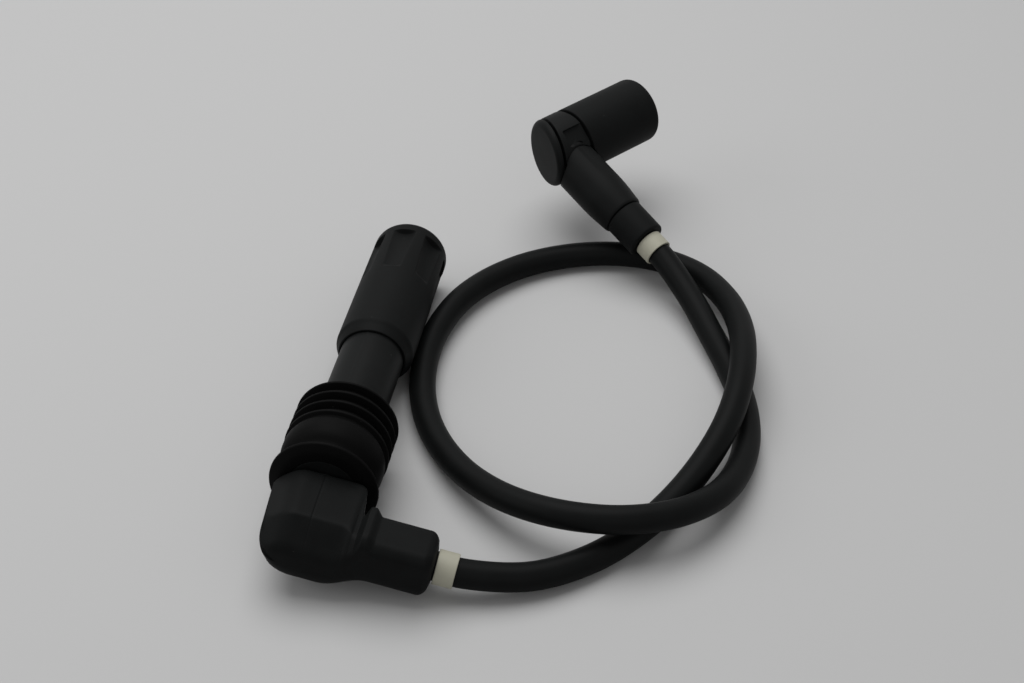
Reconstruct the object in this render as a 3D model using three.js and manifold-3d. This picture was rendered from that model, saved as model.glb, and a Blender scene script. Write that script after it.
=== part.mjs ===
// Ignition lead: a long plug connector with a right-angle rubber elbow, a stiff 7 mm lead laid in one
// loop, and a right-angle coil cap. Millimetres, +Z up. The part lies on the plane Z = 0 and the plug
// connector points along +Y.
import * as THREE from "three";
import { mergeVertices, toCreasedNormals } from "three/addons/utils/BufferGeometryUtils.js";
import Module from "manifold-3d";

const wasm = await Module();
wasm.setup();

// Shared sizes
const FIT_GAP = 0.3;
const LEAD_DIAMETER = 7;
const LEAD_SIDES = 10;
const LEAD_STEPS = 54;
const FINE_ROUND = 48;
const SMALL_ROUND = 32;
const CREASE = Math.PI / 5;

// Plug connector, measured along its axis from the crossing of the two arms of the elbow
const BARREL_RADIUS = 8.3;
const BARREL_SPIGOT_RADIUS = 4.9;
const BARREL_SPIGOT_START = 3;
const BARREL_END = 97;
const BARREL_BORE_RADIUS = 3.6;

const ELBOW_OUTER_SIDE = 11.5;
const ELBOW_ARM_SIDE = 11.8;
const ELBOW_TOP = 6;
const ELBOW_BASE = 10.7;
const ELBOW_BACK = 7.6;
const ELBOW_BACK_ROUND = 5;
const ELBOW_FRONT_ROUND = 1.4;
const ELBOW_DRAFT = 0.1;
const ELBOW_CORNERS = [6.5, 8, 8.5, 2.8];
const ELBOW_CAVITY_BACK = 5.5;
const ARM_LENGTH = 30.5;
const ARM_HALF_HEIGHT = 6.6;
const ARM_CORNER = 4.2;
const ARM_END_ROUND = 2.6;
const ARM_COLLAR_START = 12.2;
const ARM_COLLAR_LENGTH = 4.4;
const ARM_COLLAR_RISE = 1.2;
const ARM_COLLAR_SINK = 0.3;
const LEAD_SOCKET_DEPTH = 12;

const SEAL_START = 14.8;
const FLANGE_RADIUS = 13.4;
const FLANGE_THICKNESS = 1.5;
const SEAL_WAIST_RADIUS = 10.4;
const SEAL_BODY_RADIUS = 12.2;
const SEAL_LENGTH = 26;
const FIN_COUNT = 4;
const FIN_RADIUS = 13;
const FIN_PITCH = 3.75;
const FIN_LIP = 0.9;
const FIN_ROOT = 1.6;
const FIN_ROOT_RADIUS = 11.3;

const SLEEVE_START = 67.5;
const SLEEVE_END = 118;
const SLEEVE_RADIUS = 10.3;
const SLEEVE_SHOULDER = 3.2;
const SLEEVE_TIP_ROUND = 2.4;
const PLUG_MOUTH_RADIUS = 5.7;
const PLUG_MOUTH_CHAMFER = 0.8;
const FLUTE_COUNT = 7;
const FLUTE_RADIUS = 4.5;
const FLUTE_DEPTH = 0.9;
const FLUTE_TILT = 1.6;
const FLUTE_LENGTH = 18;
const FLUTE_FROM_TIP = 4;
const FIRST_FLUTE = -54;

const RESISTOR_RADIUS = 2.6;
const RESISTOR_LENGTH = 34;
const RESISTOR_CAP_RADIUS = 3.2;
const RESISTOR_CAP_LENGTH = 5;
const RESISTOR_CAP_WALL = 1;
const RESISTOR_START = 9;
const SPRING_RADIUS = 2.5;
const SPRING_WIRE = 0.8;
const SPRING_TURNS = 7;
const PLUG_TERMINAL_LENGTH = 12;
const PLUG_TERMINAL_RADIUS = 4.3;
const PLUG_TERMINAL_BORE = 3.1;
const CLIP_GROOVE = 0.7;
const CLIP_FROM_FRONT = 3.4;
const SOCKET_BASE = 2.5;
const SOCKET_SLOT = 0.9;

// Coil cap, measured along its barrel from the crossing with its arm
const CAP_RADIUS = 9.7;
const LID_BACK = 5.2;
const LID_ROUND = 1.3;
const LID_FRONT = 3.6;
const LID_SEAM = 0.35;
const LID_SPIGOT_RADIUS = 6;
const LID_SPIGOT_LENGTH = 1.1;
const SHADOW_GROOVE_WIDTH = 1.2;
const SHADOW_GROOVE_DEPTH = 0.7;
const BOOT_START = 5.4;
const BOOT_END = 31.5;
const BOOT_RIM_ROUND = 1.5;
const COIL_MOUTH_RADIUS = 6.2;
const COIL_MOUTH_CHAMFER = 0.6;
const SPIGOT_RADIUS = 7.4;
const SPIGOT_END = 19;
const CAP_ARM_RADIUS = 7;
const CAP_ARM_LENGTH = 29.4;
const CAP_ARM_END_RADIUS = 6.3;
const CAP_ARM_TAPER_START = 22;
const CAP_GROMMET_RADIUS = 5.8;
const CAP_GROMMET_LENGTH = 10.4;
const CAP_POCKET_WIDTH = 5.4;
const CAP_POCKET_LENGTH = 7;
const CAP_POCKET_DEPTH = 0.9;
const CAP_POCKET_ANGLE = 23.5;
const COIL_TERMINAL_RADIUS = 4.3;
const COIL_TERMINAL_BORE = 2.9;
const COIL_TERMINAL_LENGTH = 11;
const CONTACT_ROD_RADIUS = 1.6;
const CONTACT_DISC_RADIUS = 3.2;
const CONTACT_DISC_THICKNESS = 1.2;

// Identification bands on the lead
const BAND_WALL = 0.6;
const BAND_LENGTH = 4.8;

// Where the pieces lie. Angles are in degrees.
const PLUG_AT = new THREE.Vector2(-27.9, -87.7);
const PLUG_ARM_DIP = 11.9;
const COIL_CAP_AT = new THREE.Vector3(8.7, 66.3, 26.3);
const COIL_ARM_YAW = -40.1;
const COIL_ARM_DIP = 19;
const COIL_BARREL_RISE = 1.7;

// The lead's route, from the plug elbow round the loop to the coil cap
const LEAD_ROUTE = [
  [-9.8, -87.8, 10.6],
  [1.9, -87.9, 8.1],
  [8.8, -88, 6.7],
  [23.7, -84.5, 4.7],
  [36.4, -76, 3.8],
  [46.4, -65, 3.8],
  [53.9, -54, 4.9],
  [60.3, -42, 7.3],
  [65, -29.3, 10.1],
  [67.2, -16.2, 11.7],
  [67.4, -1.8, 11.5],
  [65.7, 12.2, 9.8],
  [61.2, 25.9, 7.8],
  [53.4, 37.4, 6.3],
  [42.8, 44.5, 5.2],
  [30, 47.1, 4.4],
  [16.8, 45, 4],
  [4.4, 38.6, 4],
  [-5.4, 28.9, 4.2],
  [-11.8, 17.9, 4.3],
  [-15.4, 4.5, 4.2],
  [-16.1, -9, 4.1],
  [-14.2, -22.5, 4],
  [-9.8, -35.2, 4.3],
  [-2.9, -46.9, 5.3],
  [6, -57.1, 7.1],
  [17.2, -65.5, 9.7],
  [30, -70.3, 11.8],
  [43.1, -70, 12],
  [55, -64.4, 10.5],
  [64.3, -53.6, 7.6],
  [68.9, -41.2, 5.1],
  [70.4, -27.4, 3.8],
  [68.7, -13.5, 3.7],
  [64, 0.5, 3.9],
  [58.2, 13.2, 4.9],
  [51.4, 26, 7.1],
  [42.5, 37.8, 11.1],
  [37.5, 42.1, 13.3],
  [28.8, 49.4, 17.2],
];

const radians = THREE.MathUtils.degToRad;

// Solids and booleans

function solidOf(geometry) {
  const bare = new THREE.BufferGeometry();
  bare.setAttribute("position", geometry.getAttribute("position"));
  bare.setIndex(geometry.index);
  const merged = mergeVertices(bare, 1e-4);
  const corners = [];
  const index = merged.index.array;
  for (let i = 0; i < index.length; i += 3) {
    const [a, b, c] = [index[i], index[i + 1], index[i + 2]];
    if (a !== b && b !== c && c !== a) corners.push(a, b, c);
  }
  return new wasm.Manifold(
    new wasm.Mesh({
      numProp: 3,
      vertProperties: merged.getAttribute("position").array,
      triVerts: new Uint32Array(corners),
    }),
  );
}

function geometryOf(solid) {
  const mesh = solid.getMesh();
  const geometry = new THREE.BufferGeometry();
  geometry.setAttribute("position", new THREE.BufferAttribute(mesh.vertProperties, 3));
  geometry.setIndex(new THREE.BufferAttribute(mesh.triVerts, 1));
  return toCreasedNormals(geometry, CREASE);
}

function joined(...geometries) {
  return geometryOf(wasm.Manifold.union(geometries.map(solidOf)));
}

function cutBy(geometry, ...tools) {
  return geometryOf(solidOf(geometry).subtract(wasm.Manifold.union(tools.map(solidOf))));
}

// A solid turned about Z from an outline of [radius, z] points
function turned(outline, sides = FINE_ROUND) {
  const points = outline.map(([radius, z]) => new THREE.Vector2(radius, z));
  if (THREE.ShapeUtils.area(points) < 0) points.reverse();
  const startsOnAxis = () => points[0].x === 0 && points[points.length - 1].x === 0;
  if (points.some((p) => p.x === 0)) {
    while (!startsOnAxis()) points.push(points.shift());
  } else {
    points.push(points[0].clone());
  }
  return new THREE.LatheGeometry(points, sides).rotateX(Math.PI / 2);
}

// A plain round bar or bore from z = from to z = to
function bar(radius, from, to, sides = SMALL_ROUND) {
  return new THREE.CylinderGeometry(radius, radius, to - from, sides)
    .rotateX(Math.PI / 2)
    .translate(0, 0, (from + to) / 2);
}

function alongX(geometry) {
  return geometry.rotateY(Math.PI / 2);
}

// Points of a quarter circle from angle a to angle b, in degrees, about [x, y]
function arc(x, y, radius, a, b, steps = 5) {
  return Array.from({ length: steps + 1 }, (_, i) => {
    const angle = radians(a + ((b - a) * i) / steps);
    return [x + radius * Math.cos(angle), y + radius * Math.sin(angle)];
  });
}

// A rectangle from [left, low] to [right, high] with a radius for each corner, counter-clockwise from
// the corner at [right, high]
function roundedOutline(left, right, low, high, radii) {
  const [a, b, c, d] = radii;
  return [
    ...arc(right - a, high - a, a, 0, 90),
    ...arc(left + b, high - b, b, 90, 180),
    ...arc(left + c, low + c, c, 180, 270),
    ...arc(right - d, low + d, d, 270, 360),
  ];
}

function roundedSquare(half, corner) {
  return roundedOutline(-half, half, -half, half, [corner, corner, corner, corner]);
}

// A closed solid through sections, each { z, points }, with as many points in each
function lofted(sections) {
  const count = sections[0].points.length;
  const position = [];
  const index = [];
  for (const { z, points } of sections) {
    points.forEach(([x, y]) => position.push(x, y, z));
  }
  for (let k = 0; k + 1 < sections.length; k++) {
    for (let i = 0; i < count; i++) {
      const a = k * count + i;
      const b = k * count + ((i + 1) % count);
      index.push(a, b, b + count, a, b + count, a + count);
    }
  }
  const last = (sections.length - 1) * count;
  for (let i = 1; i + 1 < count; i++) {
    index.push(0, i + 1, i);
    index.push(last, last + i, last + i + 1);
  }
  const geometry = new THREE.BufferGeometry();
  geometry.setAttribute("position", new THREE.Float32BufferAttribute(position, 3));
  geometry.setIndex(index);
  return geometry;
}

// The sections of an end rounded over: how far back from the end each lies, and how far it is drawn in
function roundedEnd(round, steps) {
  return Array.from({ length: steps + 1 }, (_, i) => {
    const angle = (Math.PI / 2) * (i / steps);
    return { back: round * (1 - Math.sin(angle)), inset: round * (1 - Math.cos(angle)) };
  });
}

// A square block from z = from to z = to with round edges, its far end rounded over
function roundEndedBlock(half, corner, from, to, round, steps = 5) {
  const sections = [{ z: from, points: roundedSquare(half, corner) }];
  for (const { back, inset } of roundedEnd(round, steps)) {
    sections.push({ z: to - back, points: roundedSquare(half - inset, Math.max(corner - inset, 0.4)) });
  }
  return lofted(sections);
}

// Materials

function finish(name, color, roughness, metalness = 0) {
  return new THREE.MeshStandardMaterial({ name, color, roughness, metalness });
}

const elbowRubber = finish("moulded EPDM rubber", 0x1b1c1c, 0.55);
const sealRubber = finish("soft EPDM seal rubber", 0x161717, 0.6);
const barrelPlastic = finish("phenolic barrel", 0x1e1f20, 0.5);
const sleeveRubber = finish("silicone rubber sleeve", 0x1a1b1b, 0.6);
const leadSilicone = finish("silicone rubber jacket", 0x1c1d1d, 0.5);
const capPlastic = finish("glass-filled PBT", 0x1d1e1e, 0.45);
const bandPlastic = finish("off-white PVC band", 0xd6d3c0, 0.6);
const brass = finish("nickel-plated brass", 0xb9ab84, 0.35, 0.9);
const springSteel = finish("spring steel", 0x9a9c9e, 0.35, 0.9);
const ceramic = finish("resistor ceramic", 0xd8cfc0, 0.7);

function piece(name, geometry, material) {
  const mesh = new THREE.Mesh(geometry, material);
  mesh.name = name;
  return mesh;
}

// Plug connector

const elbowFront = SEAL_START - FIT_GAP;
const barrelSeat = BARREL_RADIUS + FIT_GAP;
const leadSocket = LEAD_DIAMETER / 2 + FIT_GAP;
const contactBore = CONTACT_ROD_RADIUS + FIT_GAP;
const plugLeadEnd = ARM_LENGTH - LEAD_SOCKET_DEPTH;
const plugDiscFront = plugLeadEnd - FIT_GAP;
const plugDiscBack = plugDiscFront - CONTACT_DISC_THICKNESS;

// The knuckle of the elbow: flat on top, deeper below, narrowing towards its rounded back
function elbowBody() {
  const section = (z, inset) => {
    const draft = ELBOW_DRAFT * (elbowFront - z);
    return {
      z,
      points: roundedOutline(
        inset + draft - ELBOW_OUTER_SIDE,
        ELBOW_ARM_SIDE - inset,
        inset - ELBOW_TOP,
        ELBOW_BASE - inset,
        ELBOW_CORNERS.map((radius) => Math.max(radius - inset, 0.5)),
      ),
    };
  };
  const rear = roundedEnd(ELBOW_BACK_ROUND, 6)
    .map(({ back, inset }) => section(back - ELBOW_BACK, inset))
    .reverse();
  const front = roundedEnd(ELBOW_FRONT_ROUND, 3)
    .map(({ back, inset }) => section(elbowFront - back, inset));
  return lofted([...rear, ...front]);
}

function elbow() {
  const arm = roundEndedBlock(ARM_HALF_HEIGHT, ARM_CORNER, 0, ARM_LENGTH, ARM_END_ROUND);
  // The collar stands proud of the arm above and towards the seal, and sinks into it on the other sides.
  const collarShift = (ARM_COLLAR_RISE + ARM_COLLAR_SINK) / 2;
  const collar = roundEndedBlock(
    ARM_HALF_HEIGHT + (ARM_COLLAR_RISE - ARM_COLLAR_SINK) / 2,
    ARM_CORNER,
    ELBOW_ARM_SIDE - 2,
    ARM_COLLAR_START + ARM_COLLAR_LENGTH,
    2 * ARM_COLLAR_RISE,
    3,
  ).translate(-collarShift, -collarShift, 0);
  return cutBy(
    joined(elbowBody(), alongX(arm), alongX(collar)),
    bar(BARREL_SPIGOT_RADIUS + FIT_GAP, BARREL_SPIGOT_START - FIT_GAP, elbowFront + 1),
    bar(BARREL_BORE_RADIUS, -ELBOW_CAVITY_BACK, BARREL_SPIGOT_START),
    alongX(bar(contactBore, 0, ARM_LENGTH - 1)),
    alongX(bar(leadSocket, plugDiscBack - FIT_GAP, ARM_LENGTH + 1)),
  );
}

function finCentre(i) {
  return SEAL_START + SEAL_LENGTH - FIN_LIP - FIN_PITCH * i;
}

function seal() {
  const end = SEAL_START + SEAL_LENGTH;
  const rim = FLANGE_THICKNESS / 3;
  const outline = [
    [barrelSeat, SEAL_START],
    [FLANGE_RADIUS - rim, SEAL_START],
    [FLANGE_RADIUS, SEAL_START + rim],
    [FLANGE_RADIUS, SEAL_START + FLANGE_THICKNESS - rim],
    [FLANGE_RADIUS - rim, SEAL_START + FLANGE_THICKNESS],
    [SEAL_WAIST_RADIUS + 0.8, SEAL_START + FLANGE_THICKNESS],
    [SEAL_WAIST_RADIUS, SEAL_START + FLANGE_THICKNESS + 1.2],
    [SEAL_WAIST_RADIUS + 0.5, SEAL_START + FLANGE_THICKNESS + 2.6],
    [SEAL_BODY_RADIUS - 0.4, SEAL_START + FLANGE_THICKNESS + 5.2],
    [SEAL_BODY_RADIUS, SEAL_START + FLANGE_THICKNESS + 6.6],
  ];
  const firstFin = finCentre(FIN_COUNT - 1);
  outline.push([SEAL_BODY_RADIUS, firstFin - FIN_ROOT - 0.8]);
  for (let i = FIN_COUNT - 1; i >= 0; i--) {
    const z = finCentre(i);
    outline.push([FIN_ROOT_RADIUS, z - FIN_ROOT / 2]);
    outline.push([FIN_RADIUS, z - FIN_LIP / 2]);
    outline.push([FIN_RADIUS, z + FIN_LIP / 2]);
    if (i > 0) outline.push([FIN_ROOT_RADIUS, z + FIN_ROOT / 2]);
  }
  outline.push([barrelSeat + 0.8, end]);
  outline.push([barrelSeat, end]);
  return turned(outline);
}

const plugTerminalBack = BARREL_END - FIT_GAP - PLUG_TERMINAL_LENGTH;
const terminalPocketBack = plugTerminalBack - FIT_GAP;

function barrel() {
  const pocket = PLUG_TERMINAL_RADIUS + FIT_GAP;
  return turned([
    [BARREL_BORE_RADIUS, BARREL_SPIGOT_START],
    [BARREL_SPIGOT_RADIUS - 0.4, BARREL_SPIGOT_START],
    [BARREL_SPIGOT_RADIUS, BARREL_SPIGOT_START + 0.4],
    [BARREL_SPIGOT_RADIUS, SEAL_START],
    [BARREL_RADIUS, SEAL_START],
    [BARREL_RADIUS, BARREL_END - 0.6],
    [BARREL_RADIUS - 0.6, BARREL_END],
    [pocket, BARREL_END],
    [pocket, terminalPocketBack],
    [BARREL_BORE_RADIUS, terminalPocketBack],
  ]);
}

function sleeve() {
  const tipFlat = SLEEVE_RADIUS - SLEEVE_TIP_ROUND;
  const outer = turned([
    [barrelSeat, SLEEVE_START],
    [barrelSeat + 0.5, SLEEVE_START],
    ...arc(SLEEVE_RADIUS - 1.2, SLEEVE_START + SLEEVE_SHOULDER, 1.2, -60, 0, 3),
    ...arc(tipFlat, SLEEVE_END - SLEEVE_TIP_ROUND, SLEEVE_TIP_ROUND, 0, 90, 6),
    [PLUG_MOUTH_RADIUS + PLUG_MOUTH_CHAMFER, SLEEVE_END],
    [PLUG_MOUTH_RADIUS, SLEEVE_END - PLUG_MOUTH_CHAMFER],
    [PLUG_MOUTH_RADIUS, BARREL_END + FIT_GAP],
    [barrelSeat, BARREL_END + FIT_GAP],
  ]);
  const flutes = [];
  for (let i = 0; i < FLUTE_COUNT; i++) {
    const flute = new THREE.CylinderGeometry(FLUTE_RADIUS, FLUTE_RADIUS, FLUTE_LENGTH, 24);
    flute.rotateX(Math.PI / 2);
    flute.rotateY(-radians(FLUTE_TILT));
    flute.translate(
      SLEEVE_RADIUS + FLUTE_RADIUS - FLUTE_DEPTH,
      0,
      SLEEVE_END - FLUTE_FROM_TIP - FLUTE_LENGTH / 2,
    );
    flute.rotateZ(radians(FIRST_FLUTE + (360 * i) / FLUTE_COUNT));
    flutes.push(flute);
  }
  return cutBy(outer, ...flutes);
}

// A snap socket: a cup with four spring fingers and a groove for its clip ring
function snapSocket(radius, bore, length) {
  const grooveAt = length - CLIP_FROM_FRONT;
  const groove = CLIP_GROOVE + 2 * FIT_GAP;
  const floor = radius - CLIP_GROOVE - 0.2;
  const cup = turned(
    [
      [0, 0],
      [radius, 0],
      [radius, grooveAt - groove / 2],
      [floor, grooveAt - groove / 2],
      [floor, grooveAt + groove / 2],
      [radius, grooveAt + groove / 2],
      [radius, length - 0.4],
      [radius - 0.4, length],
      [bore + 0.5, length],
      [bore, length - 0.8],
      [bore, SOCKET_BASE],
      [0, SOCKET_BASE],
    ],
    SMALL_ROUND,
  );
  const slots = [0, Math.PI / 2].map((angle) =>
    new THREE.BoxGeometry(2 * radius + 2, SOCKET_SLOT, length)
      .rotateZ(angle)
      .translate(0, 0, SOCKET_BASE + 1.5 + length / 2),
  );
  return cutBy(cup, ...slots);
}

// The open clip ring that sits in a snap socket's groove
function clipRing(radius, length) {
  const wire = CLIP_GROOVE / 2;
  const middle = radius - wire;
  class Ring extends THREE.Curve {
    getPoint(t, target = new THREE.Vector3()) {
      const angle = radians(20 + 320 * t);
      return target.set(middle * Math.cos(angle), middle * Math.sin(angle), length - CLIP_FROM_FRONT);
    }
  }
  return swept(new Ring(), wire, 6, 24);
}

function swept(curve, radius, sides, steps) {
  const section = new THREE.Shape();
  for (let i = 0; i < sides; i++) {
    const angle = (2 * Math.PI * i) / sides;
    section[i ? "lineTo" : "moveTo"](radius * Math.cos(angle), radius * Math.sin(angle));
  }
  return new THREE.ExtrudeGeometry(section, { steps, extrudePath: curve, bevelEnabled: false });
}

const resistorEnd = RESISTOR_START + RESISTOR_LENGTH;

// A metal cup over one end of the resistor, its closed end at z = 0
function resistorCap() {
  return turned(
    [
      [0, 0],
      [RESISTOR_CAP_RADIUS, 0],
      [RESISTOR_CAP_RADIUS, RESISTOR_CAP_LENGTH],
      [RESISTOR_RADIUS + FIT_GAP, RESISTOR_CAP_LENGTH],
      [RESISTOR_RADIUS + FIT_GAP, RESISTOR_CAP_WALL],
      [0, RESISTOR_CAP_WALL],
    ],
    SMALL_ROUND,
  );
}

function contactSpring() {
  const from = resistorEnd + FIT_GAP + SPRING_WIRE / 2;
  const to = terminalPocketBack - SPRING_WIRE / 2;
  class Helix extends THREE.Curve {
    getPoint(t, target = new THREE.Vector3()) {
      const angle = 2 * Math.PI * SPRING_TURNS * t;
      const rise = from + (to - from) * t;
      return target.set(SPRING_RADIUS * Math.cos(angle), SPRING_RADIUS * Math.sin(angle), rise);
    }
  }
  return swept(new Helix(), SPRING_WIRE / 2, 6, SPRING_TURNS * 16);
}

function plugContact() {
  const post = bar(RESISTOR_CAP_RADIUS, FIT_GAP - ELBOW_CAVITY_BACK, RESISTOR_START - FIT_GAP);
  const rod = alongX(bar(CONTACT_ROD_RADIUS, 0, plugDiscBack + CONTACT_DISC_THICKNESS / 2));
  const disc = alongX(bar(CONTACT_DISC_RADIUS, plugDiscBack, plugDiscFront));
  return joined(post, rod, disc);
}

function band(from) {
  const bore = LEAD_DIAMETER / 2 + FIT_GAP;
  const chamfer = 0.2;
  return alongX(
    turned(
      [
        [bore, from],
        [bore + BAND_WALL - chamfer, from],
        [bore + BAND_WALL, from + chamfer],
        [bore + BAND_WALL, from + BAND_LENGTH - chamfer],
        [bore + BAND_WALL - chamfer, from + BAND_LENGTH],
        [bore, from + BAND_LENGTH],
      ],
      SMALL_ROUND,
    ),
  );
}

function plugConnector() {
  const connector = new THREE.Group();
  const ceramicFrom = RESISTOR_START + RESISTOR_CAP_WALL + FIT_GAP;
  const ceramicTo = resistorEnd - RESISTOR_CAP_WALL - FIT_GAP;
  const frontCap = resistorCap().rotateX(Math.PI).translate(0, 0, resistorEnd);
  const rearCap = resistorCap().translate(0, 0, RESISTOR_START);
  const socket = snapSocket(PLUG_TERMINAL_RADIUS, PLUG_TERMINAL_BORE, PLUG_TERMINAL_LENGTH);
  const ring = clipRing(PLUG_TERMINAL_RADIUS, PLUG_TERMINAL_LENGTH);
  connector.add(
    piece("plug_elbow", elbow(), elbowRubber),
    piece("plug_seal", seal(), sealRubber),
    piece("plug_barrel", barrel(), barrelPlastic),
    piece("plug_sleeve", sleeve(), sleeveRubber),
    piece("plug_contact", plugContact(), brass),
    piece("plug_resistor_cap_rear", rearCap, brass),
    piece("plug_resistor", bar(RESISTOR_RADIUS, ceramicFrom, ceramicTo), ceramic),
    piece("plug_resistor_cap_front", frontCap, brass),
    piece("plug_spring", contactSpring(), springSteel),
    piece("plug_terminal", socket.translate(0, 0, plugTerminalBack), brass),
    piece("plug_terminal_ring", ring.translate(0, 0, plugTerminalBack), springSteel),
    piece("band_plug", band(ARM_LENGTH + FIT_GAP), bandPlastic),
  );
  return connector;
}

// Coil cap

const capBore = COIL_TERMINAL_RADIUS + FIT_GAP;
const grommetSeat = 6;
const grommetBack = CAP_ARM_LENGTH - grommetSeat;
const grommetEnd = CAP_ARM_LENGTH + CAP_GROMMET_LENGTH;
const coilLeadEnd = grommetEnd - LEAD_SOCKET_DEPTH;
const coilDiscFront = coilLeadEnd - FIT_GAP;
const coilDiscBack = coilDiscFront - CONTACT_DISC_THICKNESS;

// The arm's outline, grown by a clearance: round, with its closed-end side drawn in towards the grommet
function capArm(grow, from = 0) {
  const round = turned([
    [0, from],
    [CAP_ARM_RADIUS + grow, from],
    [CAP_ARM_RADIUS + grow, CAP_ARM_TAPER_START],
    [CAP_ARM_END_RADIUS + grow, CAP_ARM_LENGTH - 0.6],
    [CAP_ARM_END_RADIUS + grow - 0.4, CAP_ARM_LENGTH],
    [0, CAP_ARM_LENGTH],
  ]);
  return alongX(round);
}

// A round bar from z = -far to the housing's back plane
function behindHousing(radius) {
  return bar(radius, -2 * CAP_RADIUS, LID_SEAM - LID_FRONT, FINE_ROUND);
}

function capHousing() {
  const grooveRadius = CAP_RADIUS - SHADOW_GROOVE_DEPTH;
  const middle = turned([
    [0, LID_SEAM - LID_FRONT],
    [CAP_RADIUS, LID_SEAM - LID_FRONT],
    [CAP_RADIUS, BOOT_START - SHADOW_GROOVE_WIDTH],
    [grooveRadius, BOOT_START - SHADOW_GROOVE_WIDTH],
    [grooveRadius, BOOT_START - LID_SEAM],
    [SPIGOT_RADIUS, BOOT_START - LID_SEAM],
    [SPIGOT_RADIUS, SPIGOT_END - 0.6],
    [SPIGOT_RADIUS - 0.6, SPIGOT_END],
    [0, SPIGOT_END],
  ]);
  const pocket = new THREE.BoxGeometry(CAP_POCKET_WIDTH, CAP_RADIUS, CAP_POCKET_LENGTH)
    .translate(
      0,
      CAP_POCKET_DEPTH - 1.5 * CAP_RADIUS,
      BOOT_START - LID_SEAM - SHADOW_GROOVE_WIDTH / 2 - CAP_POCKET_LENGTH / 2,
    )
    .rotateZ(radians(CAP_POCKET_ANGLE));
  const arm = cutBy(capArm(0), behindHousing(CAP_RADIUS + FIT_GAP));
  return cutBy(
    joined(cutBy(middle, pocket), arm),
    bar(capBore, -FIT_GAP, SPIGOT_END + 1),
    bar(LID_SPIGOT_RADIUS + FIT_GAP, -LID_BACK, FIT_GAP + LID_SPIGOT_LENGTH - LID_FRONT),
    alongX(bar(contactBore, 0, CAP_ARM_LENGTH)),
    alongX(bar(CAP_GROMMET_RADIUS - 0.6 + FIT_GAP, grommetBack, CAP_ARM_LENGTH + 1)),
  );
}

function capLid() {
  return turned([
    [0, -LID_BACK],
    ...arc(CAP_RADIUS - LID_ROUND, LID_ROUND - LID_BACK, LID_ROUND, -90, 0, 5),
    [CAP_RADIUS, -LID_FRONT],
    [LID_SPIGOT_RADIUS, -LID_FRONT],
    [LID_SPIGOT_RADIUS, LID_SPIGOT_LENGTH - LID_FRONT],
    [0, LID_SPIGOT_LENGTH - LID_FRONT],
  ]);
}

function coilBoot() {
  const bore = SPIGOT_RADIUS + FIT_GAP;
  const shell = turned([
    [bore, BOOT_START],
    [CAP_RADIUS, BOOT_START],
    ...arc(CAP_RADIUS - BOOT_RIM_ROUND, BOOT_END - BOOT_RIM_ROUND, BOOT_RIM_ROUND, 0, 90, 4),
    [COIL_MOUTH_RADIUS + COIL_MOUTH_CHAMFER, BOOT_END],
    [COIL_MOUTH_RADIUS, BOOT_END - COIL_MOUTH_CHAMFER],
    [COIL_MOUTH_RADIUS, SPIGOT_END + FIT_GAP],
    [bore, SPIGOT_END + FIT_GAP],
  ]);
  return cutBy(shell, capArm(FIT_GAP));
}

function coilGrommet() {
  return alongX(
    turned(
      [
        [leadSocket, grommetBack + FIT_GAP],
        [CAP_GROMMET_RADIUS - 0.6, grommetBack + FIT_GAP],
        [CAP_GROMMET_RADIUS - 0.6, CAP_ARM_LENGTH + FIT_GAP],
        [CAP_GROMMET_RADIUS, CAP_ARM_LENGTH + FIT_GAP],
        [CAP_GROMMET_RADIUS, grommetEnd - 0.8],
        [CAP_GROMMET_RADIUS - 0.8, grommetEnd],
        [leadSocket, grommetEnd],
      ],
      SMALL_ROUND,
    ),
  );
}

function coilContact() {
  const rod = bar(CONTACT_ROD_RADIUS, capBore, coilDiscBack + CONTACT_DISC_THICKNESS / 2);
  const disc = bar(CONTACT_DISC_RADIUS, coilDiscBack, coilDiscFront);
  return alongX(joined(rod, disc));
}

function coilCap() {
  const cap = new THREE.Group();
  const socket = snapSocket(COIL_TERMINAL_RADIUS, COIL_TERMINAL_BORE, COIL_TERMINAL_LENGTH);
  const ring = clipRing(COIL_TERMINAL_RADIUS, COIL_TERMINAL_LENGTH);
  cap.add(
    piece("coil_cap", capHousing(), capPlastic),
    piece("coil_lid", capLid(), capPlastic),
    piece("coil_boot", coilBoot(), sleeveRubber),
    piece("coil_grommet", coilGrommet(), sleeveRubber),
    piece("coil_terminal", socket, brass),
    piece("coil_terminal_ring", ring, springSteel),
    piece("coil_contact", coilContact(), brass),
    piece("band_coil", band(grommetEnd + FIT_GAP), bandPlastic),
  );
  return cap;
}

// Placing

// The plug connector rests on the lip of its last fin and on the rim of its sleeve.
function placedPlug() {
  const fromFin = finCentre(0);
  const toTip = SLEEVE_END - SLEEVE_TIP_ROUND;
  const tilt = Math.asin((FIN_RADIUS - SLEEVE_RADIUS) / (toTip - fromFin));
  const turnedArm = new THREE.Group();
  turnedArm.add(plugConnector());
  turnedArm.rotation.z = radians(PLUG_ARM_DIP);
  const placed = new THREE.Group();
  placed.add(turnedArm);
  placed.rotation.x = -Math.PI / 2 - tilt;
  const height = FIN_RADIUS * Math.cos(tilt) + fromFin * Math.sin(tilt);
  placed.position.set(PLUG_AT.x, PLUG_AT.y, height);
  return placed;
}

function placedCap() {
  const placed = new THREE.Group();
  placed.add(coilCap());
  placed.rotation.set(
    radians(COIL_BARREL_RISE - 90),
    radians(COIL_ARM_DIP),
    radians(COIL_ARM_YAW),
    "ZYX",
  );
  placed.position.copy(COIL_CAP_AT);
  return placed;
}

function lead() {
  const points = LEAD_ROUTE.map((p) => new THREE.Vector3(...p));
  const route = new THREE.CatmullRomCurve3(points, false, "centripetal");
  route.arcLengthDivisions = 1200;
  return piece("lead", swept(route, LEAD_DIAMETER / 2, LEAD_SIDES, LEAD_STEPS), leadSilicone);
}

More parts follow.
